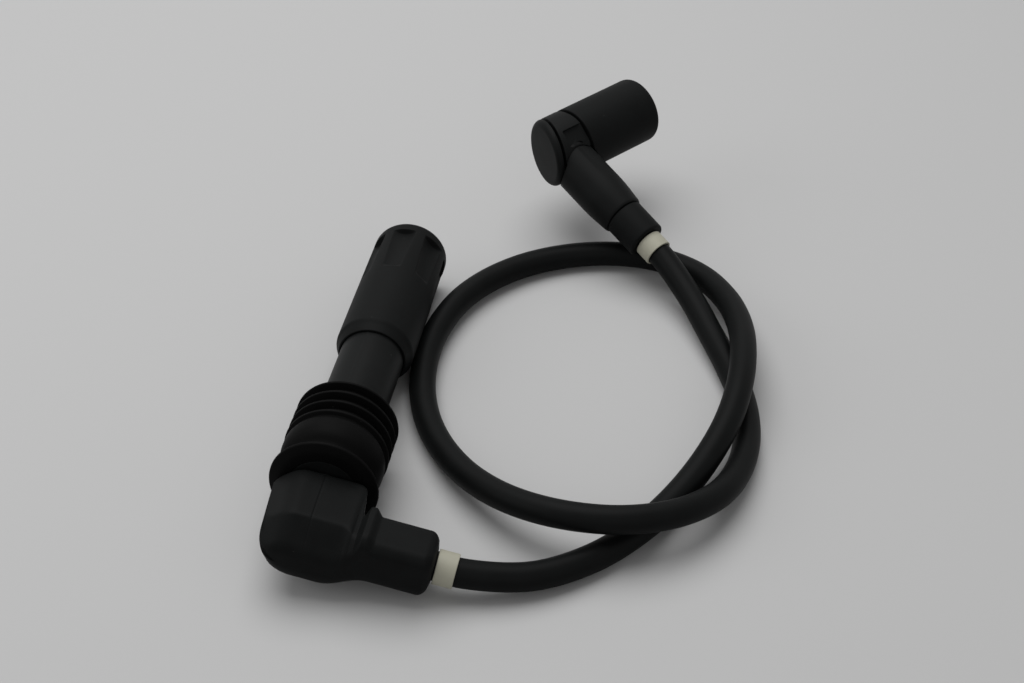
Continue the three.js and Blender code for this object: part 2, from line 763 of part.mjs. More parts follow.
const ignitionLead = new THREE.Group();
ignitionLead.add(placedPlug(), placedCap(), lead());

export default ignitionLead;
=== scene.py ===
"""Ignition lead with a right-angle plug connector and a right-angle coil cap, dressed around its
solids."""

import bmesh
import bpy
import numpy as np
from bpy.props import FloatProperty, FloatVectorProperty, IntProperty, PointerProperty
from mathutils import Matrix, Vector


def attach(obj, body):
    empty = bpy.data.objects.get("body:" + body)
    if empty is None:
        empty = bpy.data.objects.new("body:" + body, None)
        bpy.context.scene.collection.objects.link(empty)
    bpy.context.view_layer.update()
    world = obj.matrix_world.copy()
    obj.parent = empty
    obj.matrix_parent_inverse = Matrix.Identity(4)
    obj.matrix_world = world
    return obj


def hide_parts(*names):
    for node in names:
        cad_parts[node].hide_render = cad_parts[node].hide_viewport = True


bl_info = {
    "name": "Ignition lead",
    "version": (1, 0, 0),
    "blender": (4, 5, 0),
    "location": "View3D > Sidebar > Ignition lead",
    "description": "Builds an ignition lead with its plug connector and coil cap",
    "category": "Add Mesh",
}

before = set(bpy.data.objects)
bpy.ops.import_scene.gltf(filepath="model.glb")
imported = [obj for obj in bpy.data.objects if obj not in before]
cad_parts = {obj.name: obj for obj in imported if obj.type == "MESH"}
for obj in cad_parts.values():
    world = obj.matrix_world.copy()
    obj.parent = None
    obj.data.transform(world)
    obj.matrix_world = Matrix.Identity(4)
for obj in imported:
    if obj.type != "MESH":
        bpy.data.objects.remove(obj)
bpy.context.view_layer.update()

MM = 0.001

# Sizes that two pieces or more share, in millimetres
GAP = 0.3  # clearance between pieces
LEAD_REACH = 12  # how far the lead goes into a connector
TERMINAL_LENGTH = 12
TERMINAL_RADIUS = 4.3
CONTACT_RADIUS = 1.6  # the rod that meets the lead's core
SEAL_LENGTH = 26
LAST_RIB_BACK = 0.9  # from the seal's end back to the middle of its last rib
RIM_BACK = 2.4  # from the sleeve's end back to where its rounded rim touches the floor
NECK_RADIUS = 7.4  # the cap housing's neck, inside the boot
NECK_END = 19
SPIGOT_RADIUS = 6  # the lid's spigot, inside the housing
SPIGOT_HEIGHT = 1.1
TONGUE_LENGTH = 6  # the grommet's tongue, inside the arm
TONGUE_STEP = 0.6

# Where the plug connector and the coil cap lie, in millimetres and degrees
PLUG_AT = (-27.9, -87.7)
PLUG_ARM_DIP = 11.9
COIL_CAP_AT = (8.7, 66.3, 26.3)
COIL_ARM_YAW = -40.1
COIL_ARM_DIP = 19
COIL_BARREL_RISE = 1.7
LID_LEAN = 15
LID_LEANS_TOWARDS = -20

# The lead's route, from the plug elbow round the loop to the coil cap, in metres
LEAD_ROUTE = [
    (-0.0098, -0.0878, 0.0106),
    (0.0019, -0.0879, 0.0081),
    (0.0088, -0.0880, 0.0067),
    (0.0237, -0.0845, 0.0047),
    (0.0364, -0.0760, 0.0038),
    (0.0464, -0.0650, 0.0038),
    (0.0539, -0.0540, 0.0049),
    (0.0603, -0.0420, 0.0073),
    (0.0650, -0.0293, 0.0101),
    (0.0672, -0.0162, 0.0117),
    (0.0674, -0.0018, 0.0115),
    (0.0657, 0.0122, 0.0098),
    (0.0612, 0.0259, 0.0078),
    (0.0534, 0.0374, 0.0063),
    (0.0428, 0.0445, 0.0052),
    (0.0300, 0.0471, 0.0044),
    (0.0168, 0.0450, 0.0040),
    (0.0044, 0.0386, 0.0040),
    (-0.0054, 0.0289, 0.0042),
    (-0.0118, 0.0179, 0.0043),
    (-0.0154, 0.0045, 0.0042),
    (-0.0161, -0.0090, 0.0041),
    (-0.0142, -0.0225, 0.0040),
    (-0.0098, -0.0352, 0.0043),
    (-0.0029, -0.0469, 0.0053),
    (0.0060, -0.0571, 0.0071),
    (0.0172, -0.0655, 0.0097),
    (0.0300, -0.0703, 0.0118),
    (0.0431, -0.0700, 0.0120),
    (0.0550, -0.0644, 0.0105),
    (0.0643, -0.0536, 0.0076),
    (0.0689, -0.0412, 0.0051),
    (0.0704, -0.0274, 0.0038),
    (0.0687, -0.0135, 0.0037),
    (0.0640, 0.0005, 0.0039),
    (0.0582, 0.0132, 0.0049),
    (0.0514, 0.0260, 0.0071),
    (0.0425, 0.0378, 0.0111),
    (0.0375, 0.0421, 0.0133),
    (0.0288, 0.0494, 0.0172),
]


def length(name, millimetres, description):
    """A size in the sidebar, given here in millimetres."""
    return FloatProperty(
        name=name,
        description=description,
        default=millimetres * MM,
        min=0.0,
        unit="LENGTH",
        subtype="DISTANCE",
    )


def colour(name, code, description):
    """A colour in the sidebar, from an sRGB hex value."""
    return FloatVectorProperty(
        name=name,
        description=description,
        default=linear(code),
        size=4,
        min=0,
        max=1,
        subtype="COLOR",
    )


def linear(code):
    """An sRGB hex value as linear red, green, blue and alpha."""
    channels = np.array([int(code[i : i + 2], 16) for i in (1, 3, 5)]) / 255
    low = channels / 12.92
    high = ((channels + 0.055) / 1.055) ** 2.4
    return (*np.where(channels <= 0.04045, low, high).tolist(), 1.0)


class LeadSizes(bpy.types.PropertyGroup):
    """Sizes of the lead and of the bands on it"""

    diameter: length("Lead diameter", 7, "Outside of the jacket")
    jacket_sides: IntProperty(
        name="Jacket sides", description="Faces round the jacket", default=32, min=8, max=96
    )
    band_wall: length("Band wall", 0.6, "How far the marker bands stand off the jacket")
    band_length: length("Band length", 4.8, "Length of the marker bands along the lead")


class PlugSizes(bpy.types.PropertyGroup):
    """Sizes of the plug connector, from the crossing of its two arms"""

    barrel_radius: length("Barrel radius", 8.3, "Outside of the stiff tube")
    barrel_end: length("Barrel end", 97, "Where the stiff tube ends inside the sleeve")
    elbow_outer_side: length("Elbow outer side", 11.5, "From the barrel's axis away from the lead")
    elbow_arm_side: length("Elbow arm side", 11.8, "From the barrel's axis towards the lead")
    elbow_top: length("Elbow top", 6.0, "From the axis up to the flat top")
    elbow_base: length("Elbow base", 10.7, "From the axis down to the underside")
    elbow_back: length("Elbow back", 7.6, "From the crossing to the rounded back")
    arm_length: length("Arm length", 30.5, "From the crossing to the end of the arm")
    arm_half: length("Arm half height", 6.6, "Half the arm's height and width")
    seal_start: length("Seal start", 14.8, "Where the flange of the seal begins")
    flange_radius: length("Flange radius", 13.4, "Outside of the flange")
    fin_radius: length("Rib radius", 13.0, "Outside of the sealing ribs")
    fin_pitch: length("Rib pitch", 3.75, "From one rib to the next")
    sleeve_start: length("Sleeve start", 67.5, "Shoulder of the rubber sleeve")
    sleeve_end: length("Sleeve end", 118, "Open end of the rubber sleeve")
    sleeve_radius: length("Sleeve radius", 10.3, "Outside of the rubber sleeve")
    mouth_radius: length("Mouth radius", 5.7, "Inside of the open end")
    grip_length: length("Grip length", 18, "Length of the sunken finger grips near the open end")
    grip_depth: length("Grip depth", 1.15, "Depth of the finger grips halfway along")


class CapSizes(bpy.types.PropertyGroup):
    """Sizes of the coil cap, from the crossing of its two arms"""

    radius: length("Cap radius", 9.7, "Outside of the lid, the housing and the boot")
    lid_back: length("Lid back", 5.6, "From the crossing back to the middle of the lid's flat face")
    lid_front: length("Lid front", 3.6, "From the crossing back to the seam round the lid")
    boot_start: length("Boot start", 5.4, "Where the boot begins")
    boot_end: length("Boot end", 31.5, "Open end of the boot")
    mouth_radius: length("Mouth radius", 6.2, "Inside of the open end")
    arm_radius: length("Arm radius", 7, "Outside of the arm")
    arm_end_radius: length("Arm end radius", 6.3, "Outside of the arm beside the grommet")
    arm_length: length("Arm length", 29.4, "From the crossing to the end of the arm")
    grommet_radius: length("Grommet radius", 5.8, "Outside of the lead's grommet")
    grommet_length: length("Grommet length", 10.4, "How far the grommet stands out of the arm")
    pocket_width: length("Pocket width", 5.4, "Width of the sunken pocket on top of the housing")
    pocket_depth: length("Pocket depth", 1.3, "Depth of that pocket")


class Finishes(bpy.types.PropertyGroup):
    """Colours of the materials"""

    elbow: colour("Elbow rubber", "#0d0e0e", "Moulded EPDM rubber")
    seal: colour("Seal rubber", "#080808", "Soft EPDM seal rubber")
    barrel: colour("Barrel", "#101111", "Phenolic moulding")
    sleeve: colour("Sleeve rubber", "#0f1010", "Silicone rubber")
    jacket: colour("Lead jacket", "#0e0f0f", "Extruded silicone rubber")
    cap: colour("Cap plastic", "#101111", "Glass-filled PBT")
    band: colour("Band", "#a9a797", "Off-white PVC")
    floor: colour("Floor", "#c5c5c5", "Plain pale floor")


# Frames of the two connectors


def turn(axis, degrees):
    """A turn about X (0), Y (1) or Z (2) as a matrix."""
    c, s = np.cos(np.radians(degrees)), np.sin(np.radians(degrees))
    i, j = [(1, 2), (2, 0), (0, 1)][axis]
    m = np.eye(3)
    m[i, i], m[j, j], m[i, j], m[j, i] = c, c, -s, s
    return m


def plug_frame(points):
    """Millimetres in the plug connector's own frame to metres in the row's: the arm's dip turned
    about the barrel's axis, then that axis laid along +Y, tipped so that the last rib and the
    sleeve's rim both lie on Z = 0."""
    s = bpy.context.scene.plug_sizes
    last_rib = s.seal_start / MM + SEAL_LENGTH - LAST_RIB_BACK
    tip = s.sleeve_end / MM - RIM_BACK
    fin, sleeve = s.fin_radius / MM, s.sleeve_radius / MM
    tilt = np.arcsin((fin - sleeve) / (tip - last_rib))
    height = fin * np.cos(tilt) + last_rib * np.sin(tilt)
    m = turn(0, -90 - np.degrees(tilt)) @ turn(2, PLUG_ARM_DIP)
    return (points @ m.T + np.array([*PLUG_AT, height])) * MM


def cap_frame(points):
    """Millimetres in the coil cap's own frame to metres in the row's: rise of the barrel, dip of
    the arm, yaw."""
    m = turn(2, COIL_ARM_YAW) @ turn(1, COIL_ARM_DIP) @ turn(0, COIL_BARREL_RISE - 90)
    return (points @ m.T + np.array(COIL_CAP_AT)) * MM


# Surfaces


def filleted(points, radii, steps=6, closed=True):
    """A polyline whose corners are rounded: at corner P a quadratic Bezier, (1-t)^2 A + 2t(1-t) P +
    t^2 B, runs between A and B, which lie a radius away from P on its two sides, or 0.45 of a side
    where that is shorter."""
    p = np.asarray(points, float)
    before = np.roll(p, 1, axis=0) - p
    after = np.roll(p, -1, axis=0) - p
    lb = np.linalg.norm(before, axis=1, keepdims=True)
    la = np.linalg.norm(after, axis=1, keepdims=True)
    r = np.broadcast_to(np.asarray(radii, float), (len(p),))[:, None]
    cut = np.minimum(r, 0.45 * np.minimum(lb, la))
    if not closed:
        cut[[0, -1]] = 0
    a = p + before / np.maximum(lb, 1e-9) * cut
    b = p + after / np.maximum(la, 1e-9) * cut
    t = np.linspace(0, 1, steps + 1)[None, :, None]
    bend = (1 - t) ** 2 * a[:, None] + 2 * t * (1 - t) * p[:, None] + t**2 * b[:, None]
    out = bend.reshape(-1, p.shape[1])
    apart = np.linalg.norm(np.diff(out, axis=0), axis=1) > 1e-6
    return out[np.r_[True, apart]]


def lathe_grid(outline, sides, axis="z"):
    """Revolution: an outline of (radius r, height h) carried round the axis, x = r cos v, y = r sin
    v, z = h, with v from 0 to 2 pi. Along axis x the heights run along X instead."""
    r, h = np.asarray(outline, float).T
    v = np.linspace(0, 2 * np.pi, sides, endpoint=False)
    x, y = r[:, None] * np.cos(v), r[:, None] * np.sin(v)
    z = np.broadcast_to(h[:, None], x.shape)
    if axis == "x":
        return np.stack([z, y, -x], axis=-1)
    return np.stack([x, y, z], axis=-1)


def grid_faces(rows, columns, wrap_rows):
    """Quads of a grid whose columns close on themselves, and whose rows do too if wrap_rows."""
    i = np.arange(rows if wrap_rows else rows - 1)[:, None]
    j = np.arange(columns)[None, :]
    i2, j2 = (i + 1) % rows, (j + 1) % columns
    corners = (i * columns + j, i * columns + j2, i2 * columns + j2, i2 * columns + j)
    return np.stack(np.broadcast_arrays(*corners), -1).reshape(-1, 4)


def grid_mesh(name, grid, ring=False):
    """A mesh from a grid of points. A ring closes on itself both ways. Otherwise the first and last
    rows shrink to a pole each, so that the surface is closed."""
    rows, columns = grid.shape[:2]
    faces = grid_faces(rows, columns, ring)
    mesh = bpy.data.meshes.new(name)
    points = grid.reshape(-1, 3)
    if not ring:
        ends = np.stack([grid[0].mean(axis=0), grid[-1].mean(axis=0)])
        points = np.vstack([points, ends])
    mesh.from_pydata(points, [], faces)
    if not ring:
        bm = bmesh.new()
        bm.from_mesh(mesh)
        bm.verts.ensure_lookup_table()
        last = (rows - 1) * columns
        for j in range(columns):
            j2 = (j + 1) % columns
            bm.faces.new([bm.verts[len(points) - 2], bm.verts[j2], bm.verts[j]])
            bm.faces.new([bm.verts[len(points) - 1], bm.verts[last + j], bm.verts[last + j2]])
        bm.to_mesh(mesh)
        bm.free()
    return tidy(mesh)


def tidy(mesh, merge=2e-6):
    """Doubles merged, flat faces dropped, normals outward, curved faces smooth."""
    bm = bmesh.new()
    bm.from_mesh(mesh)
    bmesh.ops.remove_doubles(bm, verts=bm.verts, dist=merge)
    bmesh.ops.dissolve_degenerate(bm, dist=merge, edges=bm.edges)
    bmesh.ops.recalc_face_normals(bm, faces=bm.faces)
    bm.to_mesh(mesh)
    bm.free()
    mesh.shade_smooth()
    mesh.set_sharp_from_angle(angle=np.radians(38))
    return mesh


def place(name, mesh, material, nodes):
    """A finished piece in the scene: it rides on the root body and stands for the CAD nodes."""
    piece = bpy.data.objects.new(name, mesh)
    bpy.context.scene.collection.objects.link(piece)
    mesh.materials.clear()
    mesh.materials.append(material)
    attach(piece, "root")
    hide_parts(*nodes)
    return piece


def carved(name, base, joined=(), cut=()):
    """A mesh joined with some closed meshes and cut by others, with exact booleans worked out
    once."""
    scene = bpy.context.scene.collection
    body = bpy.data.objects.new(name, base)
    scene.objects.link(body)
    helpers = []
    for operation, meshes in (("UNION", joined), ("DIFFERENCE", cut)):
        for mesh in meshes:
            helper = bpy.data.objects.new("helper", mesh)
            scene.objects.link(helper)
            helpers.append(helper)
            step = body.modifiers.new(operation.title(), "BOOLEAN")
            step.operation = operation
            step.solver = "EXACT"
            step.object = helper
    depsgraph = bpy.context.evaluated_depsgraph_get()
    result = bpy.data.meshes.new_from_object(body.evaluated_get(depsgraph))
    for thing in (body, *helpers):
        bpy.data.objects.remove(thing)
    if len(result.polygons) < len(base.polygons) / 2:
        raise RuntimeError(f"the boolean of {name} lost most of its faces")
    result.name = name
    return tidy(result)


# Materials


def add_node(material, kind, settings=None, links=None, **inputs):
    """A node of that kind with its settings, its input values and its links from other nodes'
    outputs."""
    node = material.node_tree.nodes.new(kind)
    for key, value in (settings or {}).items():
        setattr(node, key, value)
    for key, value in inputs.items():
        node.inputs[key.replace("_", " ")].default_value = value
    for key, output in (links or {}).items():
        socket = node.inputs[key]
        material.node_tree.links.new(output, socket)
    return node


def fresh_material(name):
    """A material with an empty node tree."""
    material = bpy.data.materials.new(name)
    material.use_nodes = True
    material.node_tree.nodes.clear()
    return material


def noise(material, size_mm, detail, unevenness):
    """Noise in the piece's own frame, with spots of about size_mm."""
    place_at = add_node(material, "ShaderNodeTexCoord").outputs["Object"]
    return add_node(
        material,
        "ShaderNodeTexNoise",
        links={"Vector": place_at},
        Scale=1 / (size_mm * MM),
        Detail=detail,
        Roughness=unevenness,
    ).outputs["Fac"]


def ranged(material, value, **limits):
    """A value carried from one range to another, with 0 and 1 for the limits left out."""
    node = add_node(material, "ShaderNodeMapRange", links={"Value": value}, **limits)
    return node.outputs["Result"]


def principled(material, links, **inputs):
    """Ends the material in a principled shader, and returns its inputs."""
    shader = add_node(material, "ShaderNodeBsdfPrincipled", links=links, **inputs)
    add_node(material, "ShaderNodeOutputMaterial", links={"Surface": shader.outputs["BSDF"]})
    return shader.inputs


def moulded(name, base, light, roughness, grain_mm, grain_depth_mm, patch_mm, level=0.5):
    """A moulded polymer: a base colour that drifts towards a lighter one in soft patches of
    patch_mm, pale dust in a few specks, and a fine grain of grain_mm that is grain_depth_mm deep.
    Level is its specular level."""
    material = fresh_material(name)
    mix = {"data_type": "RGBA"}
    patches = noise(material, patch_mm, 3, 0.55)
    patch_share = ranged(material, patches, From_Min=0.3, From_Max=0.7)
    body = add_node(material, "ShaderNodeMix", mix, {0: patch_share})
    body.inputs[6].default_value = base
    body.inputs[7].default_value = light
    # Real dust is finer than a pixel, so it is drawn in specks of 0.9 mm, few and faint.
    dust = ranged(material, noise(material, 0.9, 1, 0.4), From_Min=0.8, From_Max=0.9, To_Max=0.2)
    dusty = add_node(material, "ShaderNodeMix", mix, {0: dust, 6: body.outputs[2]})
    dusty.inputs[7].default_value = linear("#9a9a96")
    grain = add_node(
        material,
        "ShaderNodeBump",
        links={"Height": noise(material, grain_mm, 2, 0.5)},
        Distance=grain_depth_mm * MM,
        Strength=0.6,
    )
    rough = ranged(material, patches, To_Min=roughness - 0.06, To_Max=roughness + 0.08)
    links = {
        "Base Color": dusty.outputs[2],
        "Roughness": rough,
        "Normal": grain.outputs["Normal"],
    }
    principled(material, links, IOR=1.5)["Specular IOR Level"].default_value = level
    return material


def paler(base, factor):
    """A colour with its red, green and blue multiplied by factor."""
    return (*[min(1.0, c * factor) for c in base[:3]], 1.0)


def metal(name, code, roughness, streak_mm):
    """A plated or drawn metal: full metallic, with a fine unevenness of streak_mm in its
    roughness."""
    material = fresh_material(name)
    streaks = noise(material, streak_mm, 4, 0.6)
    rough = ranged(material, streaks, To_Min=roughness * 0.7, To_Max=roughness * 1.4)
    inputs = principled(material, {"Roughness": rough}, Metallic=1.0)
    inputs["Base Color"].default_value = linear(code)
    return material


# Each moulded finish: its name, how much paler its patches are, its roughness, the grain's size and
# depth and the patches' size in millimetres, and its specular level. The mould's real grain is
# about 0.05 mm, too fine to show, so it is drawn at 0.25 to 0.4 mm. The levels are low because
# these blacks hardly shine in the photograph.
MOULDED = {
    # EPDM from a spark-eroded mould: dull and even, with worn patches that catch a little more
    # light
    "elbow": ("moulded EPDM rubber", 1.45, 0.5, 0.35, 0.05, 6, 0.06),
    # Soft EPDM: the dullest and blackest, so the ribs read by their shadows
    "seal": ("soft EPDM seal rubber", 1.3, 0.55, 0.3, 0.03, 5, 0.04),
    # Phenolic tube: the stiffest and smoothest, with a long soft sheen down its side
    "barrel": ("phenolic moulding", 1.3, 0.45, 0.25, 0.02, 9, 0.07),
    # Silicone: matt, a touch greyer than the EPDM
    "sleeve": ("silicone rubber sleeve", 1.35, 0.55, 0.3, 0.03, 7, 0.06),
    # Extruded silicone: a satin streak along the top of the lead
    "jacket": ("extruded silicone jacket", 1.3, 0.46, 0.35, 0.03, 8, 0.06),
    # Glass-filled PBT: hard and satin, so the cap's edges show as thin light lines
    "cap": ("glass-filled PBT moulding", 1.3, 0.5, 0.25, 0.03, 6, 0.07),
    # PVC: off-white and nearly even, the only pale thing on the lead
    "band": ("off-white PVC band", 1.06, 0.55, 0.4, 0.02, 3, 0.4),
}


def finish(key):
    """The material of that name, made once from the colours in the sidebar."""
    inner = {
        "brass": "nickel-plated brass",
        "steel": "drawn spring steel",
        "ceramic": "fired resistor ceramic",
    }
    name = MOULDED[key][0] if key in MOULDED else inner[key]
    if name in bpy.data.materials:
        return bpy.data.materials[name]
    if key == "brass":
        # Thin nickel over brass: a warm, slightly hazy shine
        return metal(name, "#c9bd95", 0.28, 0.8)
    if key == "steel":
        # Drawn wire: a grey shine, broken up along the wire
        return metal(name, "#a9abad", 0.3, 0.5)
    if key == "ceramic":
        # Unglazed ceramic: chalky and pale
        return moulded(name, linear("#d8cfc0"), linear("#e2dacb"), 0.7, 0.3, 0.02, 4)
    name, spread, roughness, grain, depth, patch, level = MOULDED[key]
    base = tuple(getattr(bpy.context.scene.finishes, key))
    return moulded(name, base, paler(base, spread), roughness, grain, depth, patch, level)


# Pieces of the lead


def route_points(route, steps=14):
    """Centripetal Catmull-Rom through the route: knots t grow by the square root of each chord, and
    a point is the nested blend of the four points round its stretch (Barry and Goldman). The ends
    are carried on straight."""
    p = np.asarray(route, float)
    p = np.vstack([2 * p[0] - p[1], p, 2 * p[-1] - p[-2]])
    knots = np.r_[0, np.cumsum(np.sqrt(np.linalg.norm(np.diff(p, axis=0), axis=1)))]
    k = np.arange(1, len(p) - 2)
    t0, t1, t2, t3 = (knots[k + i][:, None, None] for i in (-1, 0, 1, 2))
    p0, p1, p2, p3 = (p[k + i][:, None, :] for i in (-1, 0, 1, 2))
    t = t1 + (t2 - t1) * np.linspace(0, 1, steps, endpoint=False)[None, :, None]
    a1 = (t1 - t) / (t1 - t0) * p0 + (t - t0) / (t1 - t0) * p1
    a2 = (t2 - t) / (t2 - t1) * p1 + (t - t1) / (t2 - t1) * p2
    a3 = (t3 - t) / (t3 - t2) * p2 + (t - t2) / (t3 - t2) * p3
    b1 = (t2 - t) / (t2 - t0) * a1 + (t - t0) / (t2 - t0) * a2
    b2 = (t3 - t) / (t3 - t1) * a2 + (t - t1) / (t3 - t1) * a3
    c = (t2 - t) / (t2 - t1) * b1 + (t - t1) / (t2 - t1) * b2
    return np.vstack([c.reshape(-1, 3), p[-2]])


def carried_frames(line):
    """Two unit normals along a line that don't twist about it: the first is projected off each
    tangent in turn."""
    tangent = np.gradient(line, axis=0)
    tangent /= np.linalg.norm(tangent, axis=1, keepdims=True)
    normals = np.empty_like(line)
    normal = np.array([0.0, 0.0, 1.0])
    for i, t in enumerate(tangent):
        normal = normal - t * (normal @ t)
        normal /= np.linalg.norm(normal)
        normals[i] = normal
    return tangent, normals, np.cross(tangent, normals)


def tube_grid(line, radius, sides):
    """Tube: at each point c of the line, c + radius (cos v n + sin v b), with n and b its carried
    normals."""
    _, n, b = carried_frames(line)
    v = np.linspace(0, 2 * np.pi, sides, endpoint=False)
    around = n[:, None] * np.cos(v)[None, :, None] + b[:, None] * np.sin(v)[None, :, None]
    return line[:, None] + radius * around


class LEAD_OT_jacket(bpy.types.Operator):
    """Lays the stiff silicone lead along its route"""

    bl_idname = "ignition_lead.jacket"
    bl_label = "Lead"

    def execute(self, context):
        sizes = context.scene.lead_sizes
        line = route_points(LEAD_ROUTE)
        mesh = grid_mesh("lead_jacket", tube_grid(line, sizes.diameter / 2, sizes.jacket_sides))
        piece = place("lead_jacket", mesh, finish("jacket"), ["lead"])
        return {"FINISHED"}


class LEAD_OT_bands(bpy.types.Operator):
    """Wraps the pale marker bands round both ends of the lead"""

    bl_idname = "ignition_lead.bands"
    bl_label = "Marker bands"

    def execute(self, context):
        scene = context.scene
        lead, plug, cap = scene.lead_sizes, scene.plug_sizes, scene.cap_sizes
        grommet_end = (cap.arm_length + cap.grommet_length) / MM
        places = [
            ("plug_end_band", plug.arm_length / MM + GAP, plug_frame, "band_plug", 0.6),
            ("coil_end_band", grommet_end + GAP, cap_frame, "band_coil", 2.4),
        ]
        for name, start, to_row, node, lap_at in places:
            grid = self.wrapped(lead, start, lap_at)
            mesh = grid_mesh(name, to_row(grid), ring=True)
            place(name, mesh, finish("band"), [node])
        return {"FINISHED"}

    def wrapped(self, sizes, start, lap_at):
        """A band wound once round: its outside is scaled by 1 - 0.035 min(angle / 5.2, 1), which
        leaves a step at the lap, and its edges are rounded and wander by 0.05 mm sin(2 angle)."""
        bore = sizes.diameter / MM / 2 + GAP * 0.4
        wall, width = sizes.band_wall / MM, sizes.band_length / MM
        sides, outer = 96, bore + wall
        corners = [(bore, 0), (outer, 0), (outer, width), (bore, width)]
        outline = filleted(corners, [0.05, 0.22, 0.22, 0.05])
        grid = lathe_grid(outline, sides, axis="x")
        angle = (np.linspace(0, 2 * np.pi, sides, endpoint=False) - lap_at) % (2 * np.pi)
        outside = (outline[:, 0] > bore + wall * 0.5)[:, None]
        lap = 1 - 0.035 * np.minimum(angle / 5.2, 1)[None, :]
        scale = np.where(outside, lap, 1)[..., None]
        edge = np.sign(outline[:, 1] - width / 2)[:, None]
        uneven = 0.05 * np.sin(2 * angle + lap_at) * edge
        grid = grid * np.array([0, 1, 1]) * scale + grid * np.array([1, 0, 0])
        # 0.06 mm on, so that the wandering edge stays clear of the connector
        grid[..., 0] += start + 0.06 + uneven * outside
        return grid


# Pieces of the plug connector


def eased(x, a, b):
    """0 before a, 1 after b, and 3t^2 - 2t^3 between."""
    t = np.clip((x - a) / (b - a), 0, 1)
    return t * t * (3 - 2 * t)


def blend(a, b, t):
    """a where t is 0, b where t is 1, and a (1 - t) + b t between."""
    return a * (1 - t) + b * t


def round_in(distance, radius):
    """How far a rounded edge of that radius draws a side in, at a distance from the end: r -
    sqrt(r^2 - (r-d)^2)."""
    d = np.clip(distance, 0, radius)
    return radius - np.sqrt(np.maximum(radius**2 - (radius - d) ** 2, 0))


def bevel_in(distance, leg, soft):
    """How far a flat bevel draws a side in, at a distance from the end: leg - distance, or 0 beyond
    the bevel, with a parabola of half width soft between the two."""
    rest = leg - distance
    bent = (rest + soft) ** 2 / (4 * soft)
    return np.where(rest > soft, rest, np.where(rest < -soft, 0, bent))


def section_grid(stations, bevelled, side_steps=5):
    """A loft along X: at each station a rectangle from (y0, z0) to (y1, z1). Three of its corners
    are quarter circles, corner + r (1 - cos a, 1 - sin a), with r = rb at the back and rf in front.
    The upper back corner takes legs ly and lz off its two sides: it is a share bevelled of a flat
    bevel, crisp above and soft below, and for the rest a quarter ellipse."""
    columns = np.asarray(stations, float).T
    x, y0, y1, z0, z1, ly, lz, rb, rf = (column[:, None] for column in columns)
    share = np.asarray(bevelled, float)[:, None]
    height, depth = y1 - y0, z1 - z0
    limit = 0.4999 * np.minimum(height, depth)
    rb, rf = np.minimum(rb, limit), np.minimum(rf, limit)
    # A bevel stops short of the middle of the side, so that its rounded edge stays clear of the
    # corner below.
    ly, lz = np.minimum(ly, (0.4999 - 0.13 * share) * height), np.minimum(lz, 0.4999 * depth)
    flat = filleted([(0, 1.3), (0, 1), (1, 0), (1.8, 0)], [0, 0.12, 0.36, 0], 6, closed=False)
    a = np.linspace(0, np.pi / 2, len(flat))
    p, q = 1 - np.cos(a), 1 - np.sin(a)
    parts = [
        (y1 - rf * p, z1 - rf * q),
        (y0 + rf * q, z1 - rf * p),
        (y0 + ly * blend(p, flat[:, 0], share), z0 + lz * blend(q, flat[:, 1], share)),
        (y1 - rb * q, z0 + rb * p),
    ]
    parts = [np.stack(part, -1) for part in parts]
    rows = []
    t = np.linspace(0, 1, side_steps + 2)[1:-1][None, :, None]
    for part, following in zip(parts, parts[1:] + parts[:1]):
        rows += [part, blend(part[:, -1:], following[:, :1], t)]
    yz = np.concatenate(rows, axis=1)
    return np.concatenate([np.broadcast_to(x[..., None], (*yz.shape[:2], 1)), yz], axis=-1)


